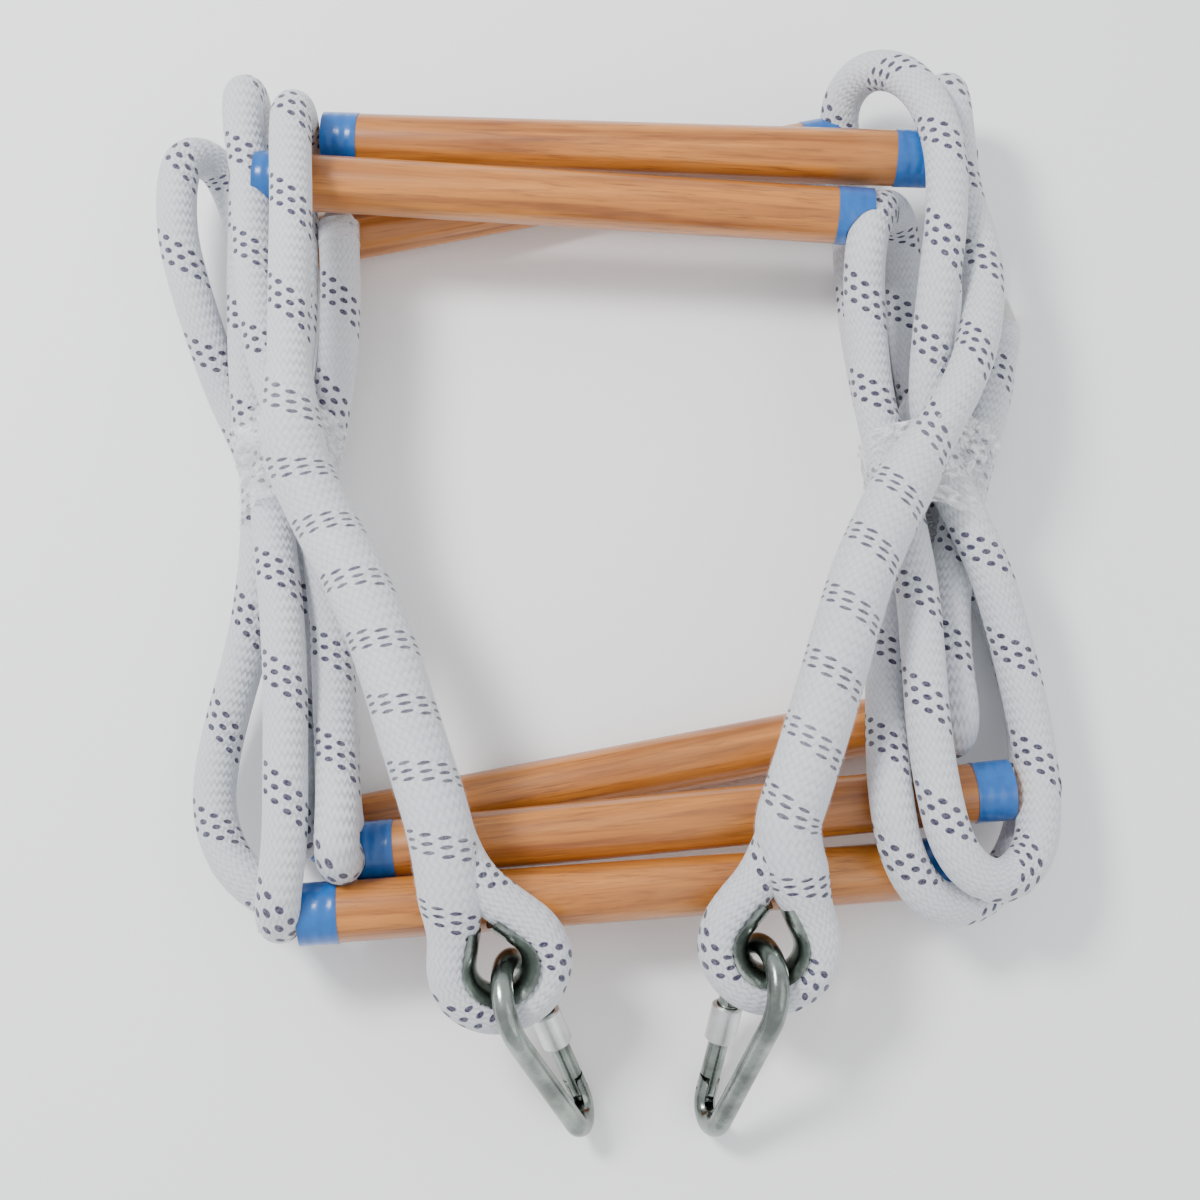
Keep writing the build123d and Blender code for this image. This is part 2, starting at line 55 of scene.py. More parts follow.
# The two side ropes are white braid with a helix of dark tracer yarns. Each is folded to and fro,
# and its top end is turned back round an eye and spliced into itself.
rope_diameter = 0.0205
rope_radius = rope_diameter / 2
splice_radius = 0.0148
tracer_pitch = 0.052
splice_pitch = 0.031
routes = {}
routes["left"] = [
    (-0.0795, -0.124, 0.087), (-0.074, -0.138, 0.084), (-0.066, -0.149, 0.0805),
    (-0.0574, -0.1562, 0.077), (-0.0487, -0.162, 0.0732), (-0.0389, -0.169, 0.0685),
    (-0.0334, -0.1815, 0.062), (-0.0404, -0.198, 0.057), (-0.0579, -0.2055, 0.057),
    (-0.0744, -0.2, 0.062), (-0.0804, -0.187, 0.0685), (-0.0769, -0.1645, 0.077),
    (-0.0814, -0.13, 0.09), (-0.0904, -0.102, 0.091), (-0.1004, -0.073, 0.091), (-0.1104, -0.043, 0.09),
    (-0.1244, -0.012, 0.088), (-0.1414, 0.018, 0.084), (-0.1554, 0.046, 0.0865),
    (-0.1584, 0.075, 0.0915), (-0.1594, 0.104, 0.093), (-0.1604, 0.139, 0.094), (-0.1614, 0.176, 0.094),
    (-0.1644, 0.22, 0.0925), (-0.1654, 0.235, 0.078), (-0.1664, 0.235, 0.056), (-0.1684, 0.22, 0.0405),
    (-0.1687, 0.184, 0.0395), (-0.1664, 0.147, 0.041), (-0.1664, 0.113, 0.044), (-0.1704, 0.081, 0.048),
    (-0.1734, 0.05, 0.053), (-0.1684, 0.014, 0.062), (-0.1614, -0.022, 0.069), (-0.1574, -0.06, 0.072),
    (-0.1554, -0.098, 0.074), (-0.1544, -0.129, 0.072), (-0.1574, -0.155, 0.068),
    (-0.1584, -0.164, 0.059), (-0.1594, -0.164, 0.045), (-0.1609, -0.159, 0.0365),
    (-0.1674, -0.1515, 0.0325), (-0.1774, -0.146, 0.0325), (-0.1894, -0.134, 0.029),
    (-0.1984, -0.113, 0.026), (-0.1984, -0.089, 0.026), (-0.1924, -0.062, 0.03),
    (-0.1844, -0.034, 0.036), (-0.1798, -0.005, 0.04), (-0.1798, 0.027, 0.036), (-0.1824, 0.059, 0.032),
    (-0.1894, 0.091, 0.032), (-0.1924, 0.125, 0.035), (-0.1944, 0.161, 0.036), (-0.1954, 0.2, 0.036),
    (-0.1964, 0.228, 0.037), (-0.1944, 0.245, 0.037), (-0.1944, 0.254, 0.046), (-0.1944, 0.254, 0.059),
    (-0.1944, 0.245, 0.068), (-0.1919, 0.224, 0.0685), (-0.1874, 0.201, 0.067), (-0.1854, 0.166, 0.066),
    (-0.1804, 0.13, 0.068), (-0.1724, 0.097, 0.071), (-0.1614, 0.069, 0.071), (-0.1524, 0.045, 0.061),
    (-0.1464, 0.014, 0.054), (-0.1414, -0.018, 0.052), (-0.1384, -0.052, 0.054),
    (-0.1344, -0.087, 0.062), (-0.1314, -0.111, 0.07), (-0.1314, -0.13, 0.072),
    (-0.1314, -0.138, 0.064), (-0.1314, -0.138, 0.052), (-0.1314, -0.13, 0.044),
    (-0.1354, -0.108, 0.044), (-0.1374, -0.083, 0.039), (-0.1404, -0.053, 0.03),
    (-0.1444, -0.013, 0.019), (-0.1524, 0.029, 0.011), (-0.1634, 0.069, 0.011), (-0.1754, 0.105, 0.011),
    (-0.1864, 0.141, 0.011), (-0.1934, 0.175, 0.0115), (-0.2024, 0.201, 0.0125), (-0.2094, 0.22, 0.014),
    (-0.2159, 0.232, 0.023), (-0.2249, 0.232, 0.036), (-0.2314, 0.22, 0.045), (-0.2304, 0.185, 0.044),
    (-0.2244, 0.16, 0.038), (-0.2164, 0.134, 0.028), (-0.2064, 0.105, 0.016), (-0.1934, 0.08, 0.011),
    (-0.1824, 0.05, 0.011), (-0.1734, 0.013, 0.011), (-0.1684, -0.024, 0.011),
    (-0.1644, -0.059, 0.0115), (-0.1619, -0.092, 0.012), (-0.1574, -0.117, 0.012),
    (-0.1574, -0.125, 0.021), (-0.1574, -0.125, 0.033), (-0.1574, -0.117, 0.041),
    (-0.1574, -0.093, 0.039), (-0.1599, -0.061, 0.0372), (-0.1598, -0.026, 0.035),
    (-0.1596, 0.007, 0.033), (-0.1574, 0.041, 0.032), (-0.1514, 0.074, 0.034), (-0.1464, 0.105, 0.037),
    (-0.1449, 0.137, 0.039), (-0.1454, 0.164, 0.041), (-0.1474, 0.189, 0.0415),
]
routes["right"] = [
    (0.0715, -0.118, 0.082), (0.0665, -0.13, 0.0785), (0.061, -0.142, 0.074),
    (0.0561, -0.1495, 0.0705), (0.0488, -0.1576, 0.0668), (0.0426, -0.1665, 0.0625),
    (0.0411, -0.1805, 0.0565), (0.0526, -0.1945, 0.0515), (0.0711, -0.197, 0.0515),
    (0.0856, -0.1865, 0.0565), (0.0876, -0.1725, 0.0625), (0.0781, -0.1515, 0.0705),
    (0.0696, -0.126, 0.082), (0.0766, -0.106, 0.086), (0.0846, -0.082, 0.089), (0.0926, -0.057, 0.09),
    (0.1006, -0.031, 0.089), (0.1096, -0.005, 0.087), (0.1236, 0.024, 0.083), (0.1376, 0.049, 0.082),
    (0.1526, 0.071, 0.084), (0.1666, 0.097, 0.077), (0.1766, 0.13, 0.068), (0.1776, 0.164, 0.064),
    (0.1696, 0.195, 0.062), (0.1681, 0.229, 0.062), (0.1676, 0.251, 0.06), (0.1676, 0.261, 0.05),
    (0.1686, 0.261, 0.036), (0.1706, 0.251, 0.026), (0.1806, 0.23, 0.018), (0.1826, 0.196, 0.015),
    (0.1766, 0.151, 0.021), (0.1616, 0.109, 0.032), (0.1446, 0.082, 0.035), (0.1326, 0.053, 0.034),
    (0.1296, 0.02, 0.034), (0.1276, -0.017, 0.037), (0.1246, -0.053, 0.046), (0.1216, -0.084, 0.058),
    (0.1206, -0.11, 0.066), (0.1246, -0.133, 0.062), (0.1336, -0.149, 0.055), (0.1466, -0.157, 0.045),
    (0.1626, -0.155, 0.035), (0.1776, -0.144, 0.027), (0.1906, -0.127, 0.022), (0.1976, -0.102, 0.018),
    (0.1996, -0.072, 0.014), (0.1966, -0.042, 0.012), (0.1896, -0.013, 0.011), (0.1786, 0.015, 0.011),
    (0.1676, 0.045, 0.011), (0.1586, 0.074, 0.011), (0.1526, 0.107, 0.011), (0.1496, 0.143, 0.012),
    (0.1476, 0.176, 0.016), (0.1446, 0.194, 0.027), (0.1376, 0.197, 0.043), (0.1276, 0.187, 0.06),
    (0.1206, 0.171, 0.067), (0.1186, 0.146, 0.061), (0.1206, 0.12, 0.054), (0.1226, 0.089, 0.053),
    (0.1286, 0.059, 0.055), (0.1346, 0.026, 0.057), (0.1386, -0.01, 0.061), (0.1386, -0.045, 0.066),
    (0.1386, -0.079, 0.07), (0.1416, -0.109, 0.071), (0.1476, -0.132, 0.067), (0.1596, -0.145, 0.061),
    (0.1746, -0.147, 0.054), (0.1896, -0.134, 0.048), (0.1946, -0.112, 0.044), (0.1946, -0.086, 0.042),
    (0.1906, -0.057, 0.043), (0.1846, -0.029, 0.046), (0.1766, 0, 0.052), (0.1646, 0.026, 0.057),
    (0.1536, 0.054, 0.056), (0.1486, 0.084, 0.059), (0.1506, 0.115, 0.066), (0.1536, 0.144, 0.077),
    (0.1576, 0.176, 0.083), (0.1586, 0.208, 0.083), (0.1536, 0.237, 0.078), (0.1436, 0.261, 0.066),
    (0.1296, 0.274, 0.05), (0.1186, 0.271, 0.036), (0.1146, 0.258, 0.026), (0.1196, 0.239, 0.018),
    (0.1216, 0.209, 0.013), (0.1226, 0.172, 0.011), (0.1246, 0.138, 0.011), (0.1296, 0.105, 0.011),
    (0.1356, 0.072, 0.011), (0.1366, 0.037, 0.011), (0.1366, 0.002, 0.011), (0.1436, -0.026, 0.011),
    (0.1536, -0.047, 0.012), (0.1566, -0.067, 0.014), (0.1576, -0.076, 0.022), (0.1586, -0.076, 0.035),
    (0.1586, -0.067, 0.044), (0.1566, -0.04, 0.042), (0.1586, -0.009, 0.036), (0.1636, 0.022, 0.034),
    (0.1726, 0.054, 0.032), (0.1836, 0.085, 0.027), (0.1926, 0.115, 0.02), (0.1976, 0.142, 0.016),
]
splice_spans = {"left": (0.185, 0.455), "right": (0.180, 0.415)}  # metres from the tucked end
throat_span = 0.03
splice_taper = 0.05


def smooth_step(x, start, end):
    x = np.clip((x - start) / (end - start), 0.0, 1.0)
    return x * x * (3.0 - 2.0 * x)


def points_along(route, name):
    """Points close together on the smooth line of a route, and their distances from its start."""
    curve = bpy.data.curves.new(name, "CURVE")
    curve.dimensions = "3D"
    curve.resolution_u = 14
    spline = curve.splines.new("NURBS")
    spline.points.add(len(route) - 1)
    for control, point in zip(spline.points, route):
        control.co = (*point, 1.0)
    spline.order_u = 3
    spline.use_endpoint_u = True
    holder = bpy.data.objects.new(name, curve)
    bpy.context.scene.collection.objects.link(holder)
    graph = bpy.context.evaluated_depsgraph_get()
    line = bpy.data.meshes.new_from_object(holder.evaluated_get(graph))
    points = np.array([v.co for v in line.vertices], float)
    bpy.data.objects.remove(holder)
    bpy.data.meshes.remove(line)
    steps = np.linalg.norm(np.diff(points, axis=0), axis=1)
    keep = np.concatenate([[True], steps > 1e-6])
    points = points[keep]
    steps = np.linalg.norm(np.diff(points, axis=0), axis=1)
    return points, np.concatenate([[0.0], np.cumsum(steps)])


def frames_along(points):
    """Forward, side and up directions at each point, carried along without twisting."""
    forward = np.gradient(points, axis=0)
    forward /= np.linalg.norm(forward, axis=1)[:, None]
    side = np.zeros_like(points)
    first = np.cross(forward[0], (0.0, 0.0, 1.0))
    side[0] = first / np.linalg.norm(first)
    for i in range(1, len(points)):
        carried = side[i - 1] - forward[i] * side[i - 1].dot(forward[i])
        side[i] = carried / np.linalg.norm(carried)
    return forward, side, np.cross(forward, side)


def tube_mesh(name, points, radii, turns, distances, around, cap_start=True, cap_end=True):
    """A tube of rings round a line. Its first map holds turns of the tracer, its second metres."""
    forward, side, up = frames_along(points)
    angles = np.arange(around) * (2.0 * math.pi / around)
    ring = side[:, None] * np.cos(angles)[None, :, None] + up[:, None] * np.sin(angles)[None, :, None]
    if np.ndim(radii) == 1:
        radii = np.repeat(radii[:, None], around, axis=1)
    corners = (points[:, None] + ring * radii[:, :, None]).reshape(-1, 3)
    rows, columns = np.meshgrid(np.arange(len(points) - 1), np.arange(around), indexing="ij")
    following = (columns + 1) % around
    quads = np.stack(
        [
            rows * around + columns,
            rows * around + following,
            (rows + 1) * around + following,
            (rows + 1) * around + columns,
        ],
        axis=-1,
    ).reshape(-1, 4)
    faces = quads[:, ::-1].tolist()
    if cap_start:
        faces.append(list(range(around)))
    if cap_end:
        last = (len(points) - 1) * around
        faces.append([last + k for k in range(around)][::-1])
    mesh = bpy.data.meshes.new(name)
    mesh.from_pydata(corners.tolist(), [], faces)
    share = np.stack([columns, columns + 1, columns + 1, columns], -1).reshape(-1, 4) / around
    row = np.stack([rows, rows, rows + 1, rows + 1], -1).reshape(-1, 4)
    for title, values in (("turns", turns), ("metres", distances)):
        layer = mesh.uv_layers.new(name=title)
        coordinates = np.zeros((len(mesh.loops), 2), np.float32)
        both = np.stack([share, values[row]], -1)[:, ::-1].reshape(-1, 2)
        coordinates[: len(both)] = both
        layer.data.foreach_set("uv", coordinates.ravel())
    mesh.polygons.foreach_set("use_smooth", [True] * len(mesh.polygons))
    piece = bpy.data.objects.new(name, mesh)
    bpy.context.scene.collection.objects.link(piece)
    return piece


def add_node(material, kind, inputs=None, **settings):
    """Adds a node to a material, with its settings, its fixed inputs and its linked inputs."""
    made = material.node_tree.nodes.new(kind)
    for key, value in settings.items():
        setattr(made, key, value)
    for key, value in (inputs or {}).items():
        if isinstance(value, bpy.types.NodeSocket):
            material.node_tree.links.new(value, made.inputs[key])
        else:
            made.inputs[key].default_value = value
    return made


def maths(material, operation, first, second=0.0, third=0.0):
    made = add_node(material, "ShaderNodeMath", {0: first, 1: second, 2: third}, operation=operation)
    return made.outputs[0]


def mix_colours(material, share, first, second, blend="MIX"):
    """Mixes two colours by a share from 0 to 1."""
    made = add_node(material, "ShaderNodeMix", {0: share}, data_type="RGBA", blend_type=blend)
    for slot, value in ((6, first), (7, second)):
        if isinstance(value, bpy.types.NodeSocket):
            material.node_tree.links.new(value, made.inputs[slot])
        else:
            made.inputs[slot].default_value = (*value, 1.0)
    return made.outputs[2]


def new_surface(name, roughness, **fixed):
    """A material with an empty principled surface. Returns it and the surface node."""
    material = bpy.data.materials.new(name)
    material.use_nodes = True
    surface = material.node_tree.nodes["Principled BSDF"]
    surface.inputs["Roughness"].default_value = roughness
    for key, value in fixed.items():
        surface.inputs[key.replace("_", " ").capitalize()].default_value = value
    return material, surface


def braid_material():
    material, surface = new_surface("white_braid", 0.72)
    surface.inputs["Sheen Weight"].default_value = 0.25
    surface.inputs["Sheen Roughness"].default_value = 0.5
    turns_map = add_node(material, "ShaderNodeUVMap", uv_map="turns")
    turns = add_node(material, "ShaderNodeSeparateXYZ", {0: turns_map.outputs[0]})
    metres_map = add_node(material, "ShaderNodeUVMap", uv_map="metres")
    metres = add_node(material, "ShaderNodeSeparateXYZ", {0: metres_map.outputs[0]})
    around, turn, metre = turns.outputs[0], turns.outputs[1], metres.outputs[1]

    # Strands of the braid: two sets of helices that pass over and under each other.
    across = maths(material, "MULTIPLY", around, 24.0)
    along = maths(material, "DIVIDE", metre, 0.0052)
    one_way = maths(material, "ADD", across, along)
    other_way = maths(material, "SUBTRACT", across, along)
    floors = maths(
        material, "ADD", maths(material, "FLOOR", one_way), maths(material, "FLOOR", other_way)
    )
    over = maths(material, "PINGPONG", floors, 1.0)
    crown_one = maths(
        material, "ABSOLUTE", maths(material, "SINE", maths(material, "MULTIPLY", one_way, math.pi))
    )
    crown_other = maths(
        material, "ABSOLUTE", maths(material, "SINE", maths(material, "MULTIPLY", other_way, math.pi))
    )
    part_one = maths(material, "MULTIPLY", crown_one, over)
    part_other = maths(material, "MULTIPLY", crown_other, maths(material, "SUBTRACT", 1.0, over))
    crown = maths(material, "ADD", part_one, part_other)

    # Tracer yarns: three rows of short slanting dashes on a helix.
    helix = maths(material, "FRACT", maths(material, "ADD", turn, around))
    row_place = maths(material, "MULTIPLY", helix, 8.5)
    in_band = maths(material, "LESS_THAN", row_place, 3.0)
    row = maths(material, "SUBTRACT", maths(material, "FRACT", row_place), 0.5)
    column = maths(
        material, "SUBTRACT", maths(material, "FRACT", maths(material, "MULTIPLY", around, 11.0)), 0.5
    )
    lean_x = maths(
        material, "ADD", maths(material, "MULTIPLY", column, 0.80), maths(material, "MULTIPLY", row, 0.60)
    )
    lean_y = maths(
        material, "SUBTRACT", maths(material, "MULTIPLY", row, 0.80), maths(material, "MULTIPLY", column, 0.60)
    )
    long_part = maths(material, "POWER", maths(material, "DIVIDE", lean_x, 0.42), 2.0)
    short_part = maths(material, "POWER", maths(material, "DIVIDE", lean_y, 0.19), 2.0)
    reach = maths(material, "ADD", long_part, short_part)
    dash = add_node(
        material,
        "ShaderNodeMapRange",
        {0: reach, 1: 0.7, 2: 1.25, 3: 1.0, 4: 0.0},
        interpolation_type="SMOOTHSTEP",
    )
    dash = maths(material, "MULTIPLY", dash.outputs[0], in_band)

    place = add_node(material, "ShaderNodeTexCoord").outputs["Object"]
    patches = add_node(material, "ShaderNodeTexNoise", {"Vector": place, "Scale": 22.0, "Detail": 2.0})
    fibres = add_node(material, "ShaderNodeTexNoise", {"Vector": place, "Scale": 900.0, "Detail": 3.0})
    tint = mix_colours(material, patches.outputs[0], (0.60, 0.60, 0.68), (0.66, 0.70, 0.69))
    # Painted shade: where the crown is low, in the grooves between the strands, the colour is darkened towards
    # a lavender grey.
    painted_groove_shade = add_node(material, "ShaderNodeMapRange", {0: crown, 1: 0.0, 2: 0.8, 3: 0.30, 4: 0.0})
    shaded = mix_colours(material, painted_groove_shade.outputs[0], tint, (0.36, 0.36, 0.42))
    fuzzy = mix_colours(
        material, maths(material, "MULTIPLY", fibres.outputs[0], 0.22), shaded, (0.62, 0.64, 0.68)
    )
    yarn = mix_colours(material, patches.outputs[0], (0.008, 0.008, 0.015), (0.030, 0.020, 0.095))
    worn = maths(material, "ADD", 0.62, maths(material, "MULTIPLY", fibres.outputs[0], 0.6))
    faded = maths(material, "MULTIPLY", dash, worn)
    colour = mix_colours(material, maths(material, "MINIMUM", faded, 1.0), fuzzy, yarn)
    material.node_tree.links.new(colour, surface.inputs["Base Color"])
    height = maths(material, "ADD", crown, maths(material, "MULTIPLY", fibres.outputs[0], 0.5))
    bump = add_node(material, "ShaderNodeBump", {"Strength": 0.55, "Distance": 0.0007, "Height": height})
    material.node_tree.links.new(bump.outputs[0], surface.inputs["Normal"])
    return material


braid = braid_material()
rope_lines = {}
for side, route in routes.items():
    points, distances = points_along(route, "route_" + side)
    splice_start, splice_end = splice_spans[side]
    fat = smooth_step(distances, splice_start - throat_span, splice_start)
    fat *= 1.0 - smooth_step(distances, splice_end - splice_taper, splice_end)
    radii = rope_radius + (splice_radius - rope_radius) * fat
    pitch = tracer_pitch + (splice_pitch - tracer_pitch) * fat
    steps = np.diff(distances) / ((pitch[1:] + pitch[:-1]) / 2)
    turns = np.concatenate([[0.0], np.cumsum(steps)])
    rope_lines[side] = (points, distances, radii)
    rope = tube_mesh("rope_" + side, points, radii, turns, distances, 40)
    rope.data.materials.append(braid)
    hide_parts("side_rope_" + side)
    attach(rope, "bundle")


# Each splice is covered with clear film, shrunk on over the buried end of the rope.
# It stands a little off the braid, with fine creases across it.
def film_material(name, clear, cloudy):
    material, surface = new_surface(name, 0.16)
    surface.inputs["Base Color"].default_value = (0.93, 0.94, 0.97, 1.0)
    place = add_node(material, "ShaderNodeTexCoord").outputs["Object"]
    stretched = add_node(material, "ShaderNodeMapping", {"Vector": place, "Scale": (1.0, 2.6, 1.0)})
    creases = add_node(
        material,
        "ShaderNodeTexNoise",
        {"Vector": stretched.outputs[0], "Scale": 90.0, "Detail": 3.0, "Distortion": 1.2},
    )
    cloud = add_node(
        material, "ShaderNodeMapRange", {0: creases.outputs[0], 1: 0.45, 2: 0.8, 3: clear, 4: cloudy}
    )
    material.node_tree.links.new(cloud.outputs[0], surface.inputs["Alpha"])
    bump = add_node(
        material, "ShaderNodeBump", {"Strength": 0.6, "Distance": 0.002, "Height": creases.outputs[0]}
    )
    material.node_tree.links.new(bump.outputs[0], surface.inputs["Normal"])
    return material


splice_film = film_material("splice_film", 0.05, 0.22)
for side, (points, distances, radii) in rope_lines.items():
    start, end = splice_spans[side]
    inside = (distances > start - 0.004) & (distances < end - 0.012)
    covered = points[inside]
    station = distances[inside]
    angles = np.arange(48) * (2.0 * math.pi / 48)
    creases = 0.00022 * np.sin(station[:, None] * 900.0 + 2.0 * np.sin(3.0 * angles)[None, :])
    creases = creases + 0.0002 * np.sin(station[:, None] * 310.0 + 5.0 * angles[None, :])
    stand_off = np.minimum(radii[inside][:, None] + 0.0006 + creases, 0.0160)
    film = tube_mesh("splice_film_" + side, covered, stand_off, station, station, 48, False, False)
    film.data.materials.append(splice_film)
    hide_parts("splice_cover_" + side)
    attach(film, "bundle")

# Clear stretch film is wound round the middle of each bundle, so it follows the ropes it pulls
# together. Each turn lies a little off the last one.
tie_film = film_material("tie_film", 0.20, 1.0)
tie_length = 0.045


def bundle_outline(points, y, spokes, offset):
    """Outline of a film pulled tight round the strands that cross one plane across the bundle."""
    before, after = points[:-1], points[1:]
    crossing = (before[:, 1] - y) * (after[:, 1] - y) <= 0.0
    near = before[crossing]
    share = ((y - near[:, 1]) / (after[crossing][:, 1] - near[:, 1] + 1e-12))[:, None]
    centres = (near + share * (after[crossing] - near))[:, [0, 2]]
    angles = np.arange(720) * (math.pi / 360)
    normals = np.stack([np.cos(angles), np.sin(angles)], axis=-1)
    support = (centres @ normals.T).max(axis=0) + rope_radius + offset
    slope = (np.roll(support, -1) - np.roll(support, 1)) / (angles[2] - angles[0])
    sideways = np.stack([-np.sin(angles), np.cos(angles)], axis=-1)
    outline = normals * support[:, None] + sideways * slope[:, None]
    middle = outline.mean(axis=0)
    spread = outline - middle
    bearing = np.unwrap(np.arctan2(spread[:, 1], spread[:, 0]))
    wanted = np.arange(spokes) * (2.0 * math.pi / spokes)
    reach = np.interp(wanted, bearing, np.linalg.norm(spread, axis=1), period=2.0 * math.pi)
    return middle, wanted, reach


for side, (points, distances, radii) in rope_lines.items():
    low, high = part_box("bundle_tie_" + side)
    centre_y = (low.y + high.y) / 2
    spokes, rows = 160, 37
    corners = []
    for i in range(rows):
        share = i / (rows - 1)
        y = centre_y + (share - 0.5) * tie_length
        middle, bearings, reach = bundle_outline(points, y, spokes, 0.0007)
        turn = np.sin(share * 34.0 + 1.7 * np.sin(bearings)) * 0.00035
        fold = np.sin(share * 9.0 + 3.0 * bearings) * 0.0003
        edge = 0.0012 * np.exp(-((min(share, 1.0 - share) / 0.04) ** 2))
        ripple = edge * np.sin(13.0 * bearings + 4.0 * share)
        reach = reach + np.maximum(turn + fold + ripple, -0.0005)
        shift = 0.0016 * np.sin(2.0 * bearings + 1.3) * (2.0 * share - 1.0)
        for bearing, distance, along in zip(bearings, reach, shift):
            x = middle[0] + math.cos(bearing) * distance
            z = max(middle[1] + math.sin(bearing) * distance, 0.0002)
            corners.append((x, y + along, z))
    faces = []
    for i in range(rows - 1):
        for k in range(spokes):
            following = (k + 1) % spokes
            lower, upper = i * spokes, (i + 1) * spokes
            faces.append((lower + k, lower + following, upper + following, upper + k))
    mesh = bpy.data.meshes.new("tie_" + side)
    mesh.from_pydata(corners, [], faces)
    mesh.polygons.foreach_set("use_smooth", [True] * len(mesh.polygons))
    tie = bpy.data.objects.new("tie_" + side, mesh)
    bpy.context.scene.collection.objects.link(tie)
    mesh.materials.append(tie_film)
    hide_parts("bundle_tie_" + side)
    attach(tie, "bundle")

# The cut tail of each rope is bound with clear tape and melted so that it can't fray.
seal_material, seal_surface = new_surface("melted_end", 0.45)
seal_place = add_node(seal_material, "ShaderNodeTexCoord").outputs["Object"]
seal_noise = add_node(
    seal_material, "ShaderNodeTexNoise", {"Vector": seal_place, "Scale": 260.0, "Detail": 4.0}
)
seal_colour = mix_colours(seal_material, seal_noise.outputs[0], (0.72, 0.72, 0.74), (0.40, 0.36, 0.30))
seal_material.node_tree.links.new(seal_colour, seal_surface.inputs["Base Color"])
seal_bump = add_node(
    seal_material, "ShaderNodeBump", {"Strength": 0.8, "Distance": 0.0015, "Height": seal_noise.outputs[0]}
)
seal_material.node_tree.links.new(seal_bump.outputs[0], seal_surface.inputs["Normal"])
band_film = film_material("band_film", 0.25, 0.5)
for side in ("left", "right"):
    nodes["tail_seal_" + side].data.materials.clear()
    nodes["tail_seal_" + side].data.materials.append(seal_material)
    nodes["tail_band_" + side].data.materials.clear()
    nodes["tail_band_" + side].data.materials.append(band_film)


# The rungs are round bars of light hardwood, turned and varnished. The grain runs along each bar,
# with darker lines, fine pores and a few stains.
def varnished_wood(name, low, high):
    material, surface = new_surface(name, 0.33)
    surface.inputs["Coat Weight"].default_value = 0.45
    surface.inputs["Coat Roughness"].default_value = 0.16
    place = add_node(material, "ShaderNodeTexCoord").outputs["Object"]
    heading = math.atan2(high[1] - low[1], high[0] - low[0])
    straight = add_node(
        material,
        "ShaderNodeMapping",
        {"Vector": place, "Rotation": (0.0, 0.0, -heading), "Location": (low[2], 0.0, 0.0)},
    )
    drawn_out = add_node(
        material, "ShaderNodeMapping", {"Vector": straight.outputs[0], "Scale": (0.05, 1.0, 1.0)}
    )
    rings = add_node(
        material,
        "ShaderNodeTexNoise",
        {"Vector": drawn_out.outputs[0], "Scale": 120.0, "Detail": 4.0, "Roughness": 0.6, "Distortion": 0.8},
    )
    lines = add_node(
        material,
        "ShaderNodeTexNoise",
        {"Vector": drawn_out.outputs[0], "Scale": 620.0, "Detail": 3.0, "Roughness": 0.7},
    )
    stains = add_node(
        material, "ShaderNodeTexNoise", {"Vector": straight.outputs[0], "Scale": 14.0, "Detail": 3.0}
    )
    ring_share = add_node(material, "ShaderNodeMapRange", {0: rings.outputs[0], 1: 0.36, 2: 0.68})
    base = mix_colours(material, ring_share.outputs[0], (0.58, 0.215, 0.036), (0.27, 0.078, 0.012))
    pore_share = add_node(
        material, "ShaderNodeMapRange", {0: lines.outputs[0], 1: 0.52, 2: 0.75, 3: 0.0, 4: 0.8}
    )
    grained = mix_colours(material, pore_share.outputs[0], base, (0.15, 0.046, 0.009))
    stain_share = add_node(
        material, "ShaderNodeMapRange", {0: stains.outputs[0], 1: 0.50, 2: 0.75, 3: 0.0, 4: 0.5}
    )
    colour = mix_colours(material, stain_share.outputs[0], grained, (0.50, 0.20, 0.05))
    material.node_tree.links.new(colour, surface.inputs["Base Color"])
    gloss = add_node(material, "ShaderNodeMapRange", {0: lines.outputs[0], 3: 0.24, 4: 0.46})
    material.node_tree.links.new(gloss.outputs[0], surface.inputs["Roughness"])
    bump = add_node(
        material, "ShaderNodeBump", {"Strength": 0.25, "Distance": 0.0004, "Height": lines.outputs[0]}
    )
    material.node_tree.links.new(bump.outputs[0], surface.inputs["Normal"])
    return material


for number in range(1, 7):
    name = "rung_" + str(number)
    ends = []
    for side in ("left", "right"):
        low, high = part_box(name + "_tape_" + side)
        ends.append((low + high) / 2)
    nodes[name].data.materials.clear()
    nodes[name].data.materials.append(varnished_wood(name + "_wood", *ends))

# Both ends of each rung are wrapped in glossy blue vinyl tape, which shows the lap of its turns.
vinyl, vinyl_surface = new_surface("blue_vinyl", 0.28)
vinyl_place = add_node(vinyl, "ShaderNodeTexCoord").outputs["Object"]
vinyl_noise = add_node(
    vinyl, "ShaderNodeTexNoise", {"Vector": vinyl_place, "Scale": 130.0, "Detail": 3.0}
)
vinyl_colour = mix_colours(vinyl, vinyl_noise.outputs[0], (0.004, 0.075, 0.30), (0.012, 0.15, 0.50))
vinyl.node_tree.links.new(vinyl_colour, vinyl_surface.inputs["Base Color"])
laps = add_node(
    vinyl, "ShaderNodeTexWave", {"Vector": vinyl_place, "Scale": 55.0, "Distortion": 3.0, "Detail": 2.0}
)
vinyl_height = maths(vinyl, "ADD", laps.outputs[1], vinyl_noise.outputs[0])
vinyl_bump = add_node(
    vinyl, "ShaderNodeBump", {"Strength": 0.35, "Distance": 0.0008, "Height": vinyl_height}
)
vinyl.node_tree.links.new(vinyl_bump.outputs[0], vinyl_surface.inputs["Normal"])
vinyl_surface.inputs["Coat Weight"].default_value = 0.3
for number in range(1, 7):
    for side in ("left", "right"):
        tape = nodes["rung_" + str(number) + "_tape_" + side]
        tape.data.materials.clear()
        tape.data.materials.append(vinyl)


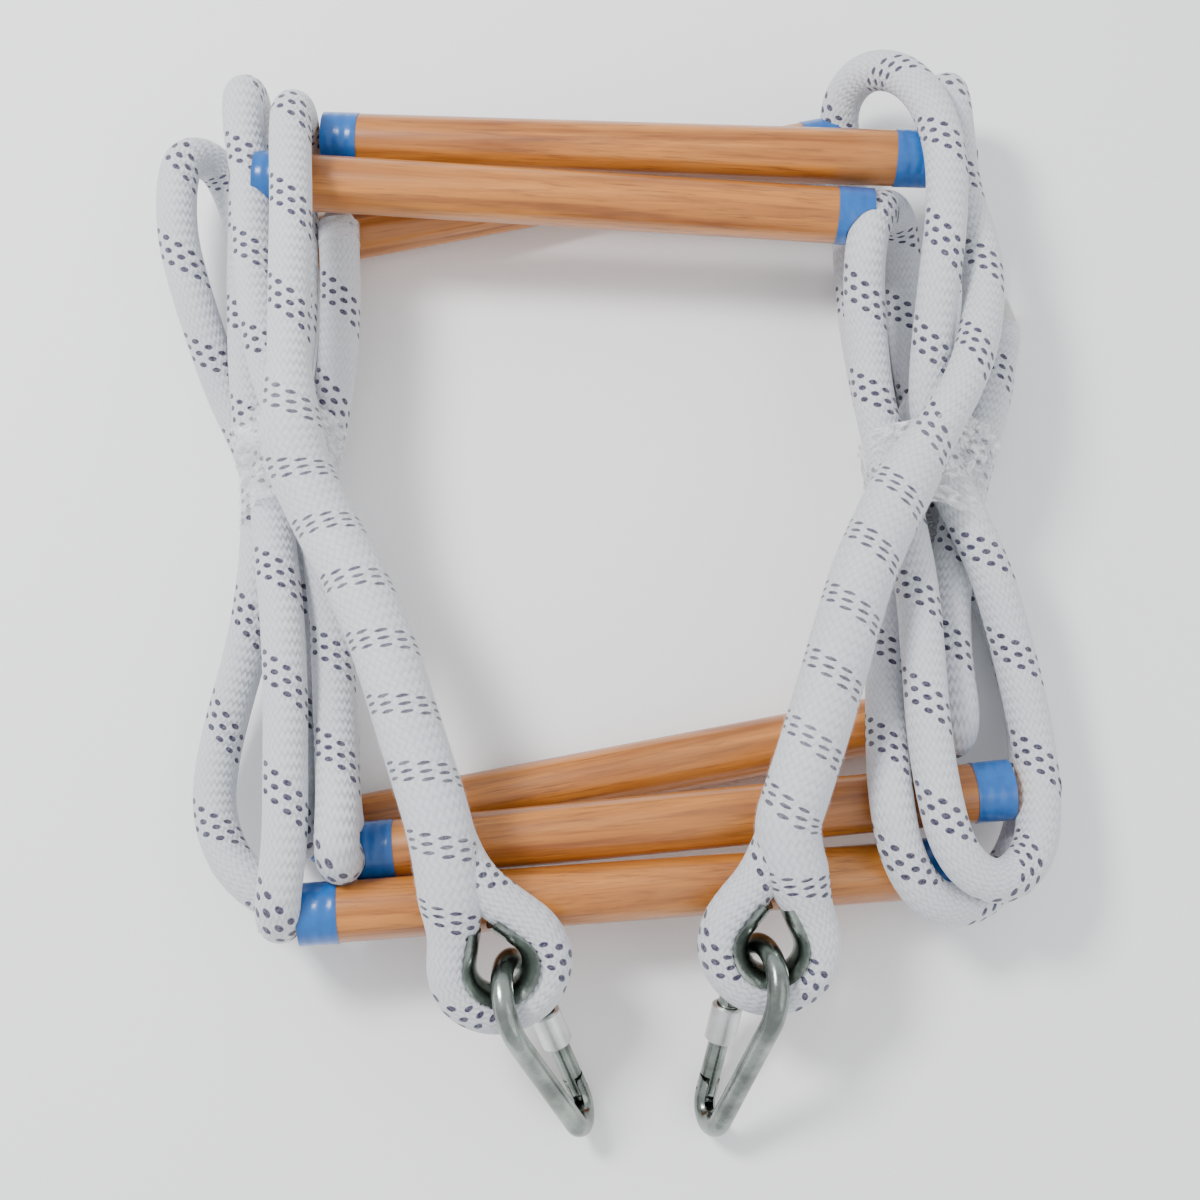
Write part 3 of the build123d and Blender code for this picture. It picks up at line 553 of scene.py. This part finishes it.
# The thimbles, the spring hooks and the screws are zinc-plated steel. The bar is drawn and bent,
# so its finish is smooth with faint mottling and dull scuffs.
def plated_steel(name, colour, roughness, mottle):
    material, surface = new_surface(name, roughness)
    surface.inputs["Metallic"].default_value = 1.0
    place = add_node(material, "ShaderNodeTexCoord").outputs["Object"]
    cloud = add_node(material, "ShaderNodeTexNoise", {"Vector": place, "Scale": 70.0, "Detail": 4.0})
    scuffs = add_node(material, "ShaderNodeTexNoise", {"Vector": place, "Scale": 600.0, "Detail": 2.0})
    dark = tuple(value * mottle for value in colour)
    share = add_node(material, "ShaderNodeMapRange", {0: cloud.outputs[0], 1: 0.38, 2: 0.66})
    surface_colour = mix_colours(material, share.outputs[0], dark, colour)
    material.node_tree.links.new(surface_colour, surface.inputs["Base Color"])
    rough = add_node(
        material, "ShaderNodeMapRange", {0: scuffs.outputs[0], 3: roughness * 0.7, 4: roughness * 1.5}
    )
    material.node_tree.links.new(rough.outputs[0], surface.inputs["Roughness"])
    bump = add_node(
        material, "ShaderNodeBump", {"Strength": 0.2, "Distance": 0.0003, "Height": scuffs.outputs[0]}
    )
    material.node_tree.links.new(bump.outputs[0], surface.inputs["Normal"])
    return material


bar_steel = plated_steel("plated_bar", (0.33, 0.37, 0.34), 0.20, 0.52)
sleeve_steel = plated_steel("plated_sleeve", (0.80, 0.81, 0.80), 0.36, 0.80)
pin_steel = plated_steel("bright_pin", (0.58, 0.59, 0.58), 0.25, 0.7)
finishes = {
    "hook_body": bar_steel,
    "hook_gate": bar_steel,
    "eye_thimble": bar_steel,
    "screw_sleeve": sleeve_steel,
    "gate_hinge_pin": pin_steel,
    "gate_latch_pin": pin_steel,
    "gate_spring": pin_steel,
    "spring_plunger": pin_steel,
}
for part, finish in finishes.items():
    for side in ("left", "right"):
        node = nodes[part + "_" + side]
        node.data.materials.clear()
        node.data.materials.append(finish)
nodes["rung_screws"].data.materials.clear()
nodes["rung_screws"].data.materials.append(pin_steel)

# A plain pale floor, with a small soft lamp high on the left and a wider, weaker one on the right.
floor_mesh = bpy.data.meshes.new("floor")
floor_mesh.from_pydata([(-3, -3, 0), (3, -3, 0), (3, 3, 0), (-3, 3, 0)], [], [(0, 1, 2, 3)])
floor = bpy.data.objects.new("floor", floor_mesh)
bpy.context.scene.collection.objects.link(floor)
floor_paint, floor_surface = new_surface("pale_floor", 0.9)
floor_surface.inputs["Base Color"].default_value = (0.98, 0.98, 0.98, 1.0)
floor_mesh.materials.append(floor_paint)


def soft_lamp(name, place, size, power):
    """A square lamp that faces the middle of the ladder."""
    lamp = bpy.data.objects.new(name, bpy.data.lights.new(name, "AREA"))
    lamp.data.size = size
    lamp.data.energy = power
    lamp.location = place
    lamp.rotation_euler = (-Vector(place)).to_track_quat("-Z", "Y").to_euler()
    bpy.context.scene.collection.objects.link(lamp)


soft_lamp("key_lamp", (-0.75, 0.45, 1.25), 0.35, 22.0)
soft_lamp("fill_lamp", (1.2, -0.5, 1.3), 1.4, 8.0)
world = bpy.data.worlds.new("studio")
bpy.context.scene.world = world
world.use_nodes = True
world.node_tree.nodes["Background"].inputs[0].default_value = (0.95, 0.97, 1.0, 1.0)
world.node_tree.nodes["Background"].inputs[1].default_value = 1.04
